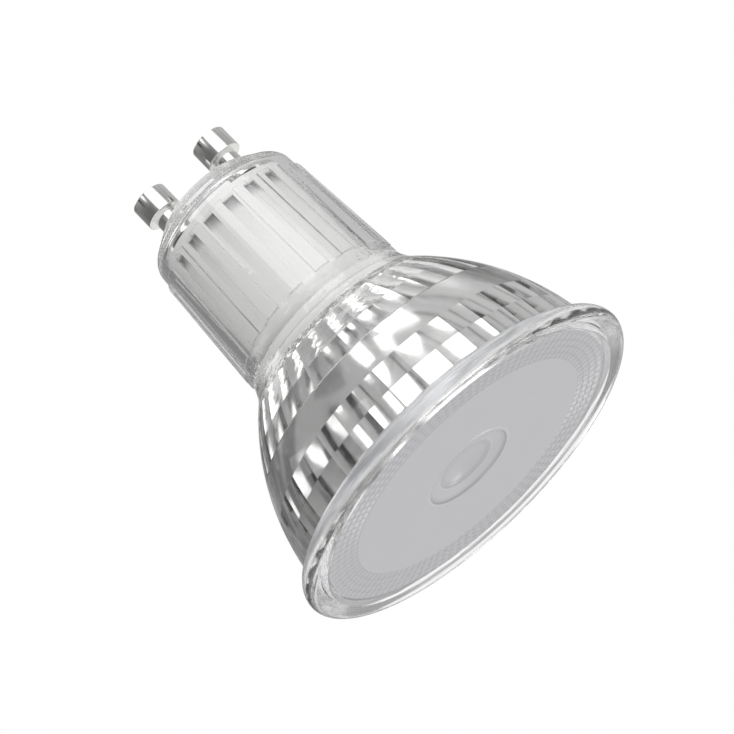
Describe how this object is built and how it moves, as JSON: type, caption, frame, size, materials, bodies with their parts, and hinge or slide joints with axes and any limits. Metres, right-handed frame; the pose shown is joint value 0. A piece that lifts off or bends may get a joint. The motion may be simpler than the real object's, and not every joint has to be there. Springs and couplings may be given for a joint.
{
  "type": "spotlight bulb",
  "caption": "Clear glass reflector spotlight bulb with a frosted front lens, a ribbed neck and a two-pin twist-lock base, for ceiling and track spots.",
  "frame": {"origin": "centre of the front rim's face, on which the bulb stands", "axes": "+Z along the bulb's axis from the front rim to the contact pins; +X along the line through both pins"},
  "size_m": [0.05, 0.05, 0.054],
  "materials": {
    "clear_glass": "pressed, clear and glossy, mirror film on the inner facets",
    "frosted_lens": "moulded, finely frosted",
    "silicone": "cured bead",
    "plated_pin": "turned and nickel plated",
    "white_moulding": "moulded, satin",
    "spreader": "turned",
    "thermal_pad": "soft sheet",
    "light_board": "white solder mask",
    "light_source": "ceramic tile with phosphor",
    "driver_board": "green solder mask",
    "capacitor_can": "sleeved can",
    "film_box": "moulded box",
    "resistor_body": "lacquered",
    "package": "moulded epoxy",
    "ferrite": "sintered",
    "copper": "enamelled winding",
    "ceramic": "fired",
    "chip_resistor": "glazed",
    "lead_live": "insulated wire",
    "lead_neutral": "insulated wire",
    "lead_positive": "insulated wire",
    "lead_negative": "insulated wire"
  },
  "bodies": {
    "root": {"glass_body": "clear_glass", "front_lens": "frosted_lens", "lens_bond": "silicone", "pin_live": "plated_pin", "pin_neutral": "plated_pin", "driver_sleeve": "white_moulding", "heat_spreader": "spreader", "thermal_pad": "thermal_pad", "led_board": "light_board", "cob_led": "light_source", "driver_board": "driver_board", "bulk_capacitor": "capacitor_can", "film_capacitor": "film_box", "fusible_resistor": "resistor_body", "bridge_rectifier": "package", "driver_chip": "package", "choke_core": "ferrite", "choke_winding": "copper", "ceramic_capacitors": "ceramic", "chip_resistors": "chip_resistor", "live_lead": "lead_live", "neutral_lead": "lead_neutral", "led_lead_positive": "lead_positive", "led_lead_negative": "lead_negative"}
  },
  "joints": []
}
